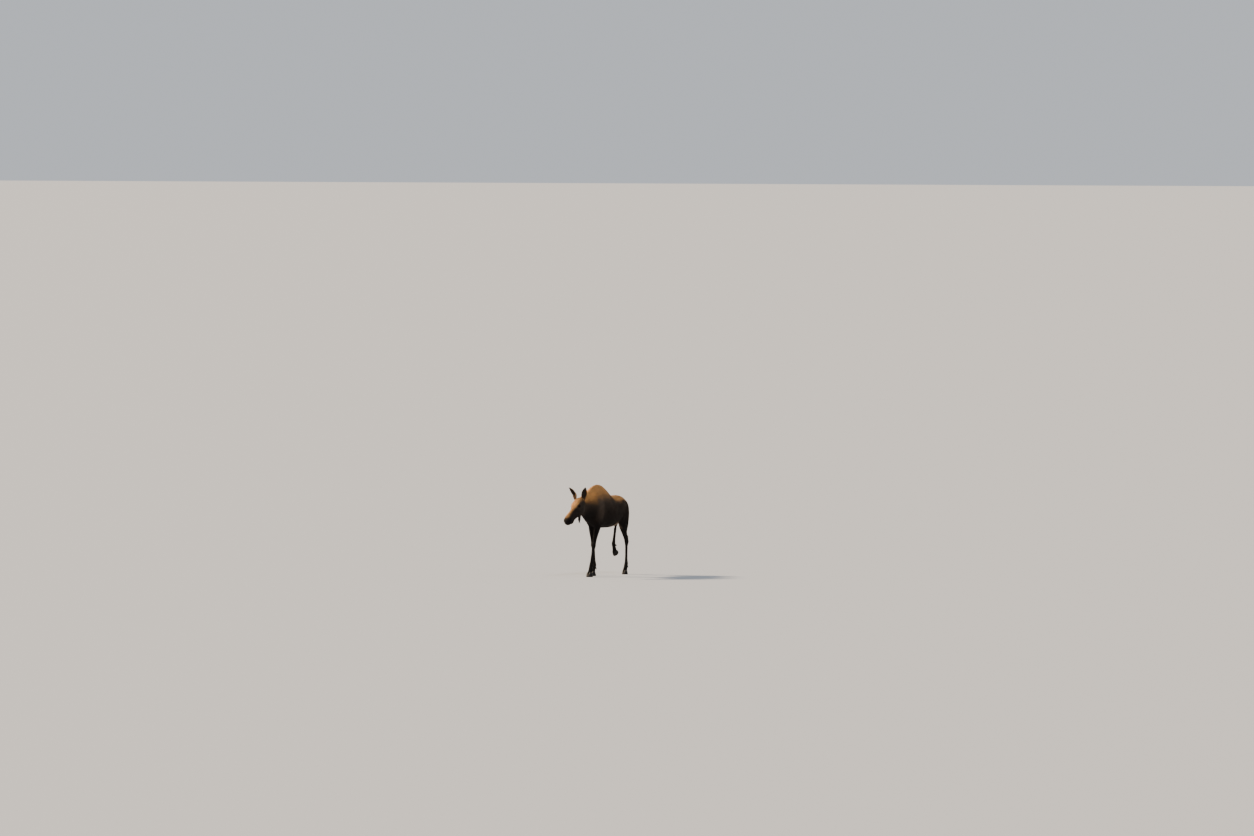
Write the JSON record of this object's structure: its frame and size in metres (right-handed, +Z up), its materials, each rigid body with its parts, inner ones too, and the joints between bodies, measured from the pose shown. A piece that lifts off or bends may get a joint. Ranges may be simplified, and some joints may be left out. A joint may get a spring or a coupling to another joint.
{
  "type": "moose_model",
  "caption": "Cow moose at life size in a wading stride: long heavy head with upright ears, tall shoulder hump, throat bell, long thin legs, right hind foot lifted",
  "frame": {"origin": "on the floor, under the middle of the bounding box", "axes": "the moose faces -Y, her left side is +X, and up is +Z; the soles of three feet are at z = 0"},
  "size_m": [0.5274, 2.388, 1.8184],
  "materials": {
    "moose_coat": "short dark brown fur",
    "moose_ear": "short tan fur",
    "moose_eye": "wet gloss",
    "moose_horn": "worn horn"
  },
  "bodies": {
    "root": {"trunk": "moose_coat", "neck": "moose_coat", "head": "moose_coat", "bell": "moose_coat", "tail": "moose_coat", "ear_left": "moose_ear", "ear_right": "moose_ear", "eye_left": "moose_eye", "eye_right": "moose_eye", "fore_left_leg": "moose_coat", "fore_left_cannon": "moose_coat", "claw_fore_left_outer": "moose_horn", "dewclaw_fore_left_outer": "moose_horn", "claw_fore_left_inner": "moose_horn", "dewclaw_fore_left_inner": "moose_horn", "fore_right_leg": "moose_coat", "fore_right_cannon": "moose_coat", "claw_fore_right_outer": "moose_horn", "dewclaw_fore_right_outer": "moose_horn", "claw_fore_right_inner": "moose_horn", "dewclaw_fore_right_inner": "moose_horn", "hind_left_leg": "moose_coat", "hind_left_cannon": "moose_coat", "claw_hind_left_outer": "moose_horn", "dewclaw_hind_left_outer": "moose_horn", "claw_hind_left_inner": "moose_horn", "dewclaw_hind_left_inner": "moose_horn", "hind_right_leg": "moose_coat", "hind_right_cannon": "moose_coat", "claw_hind_right_outer": "moose_horn", "dewclaw_hind_right_outer": "moose_horn", "claw_hind_right_inner": "moose_horn", "dewclaw_hind_right_inner": "moose_horn"}
  },
  "joints": []
}
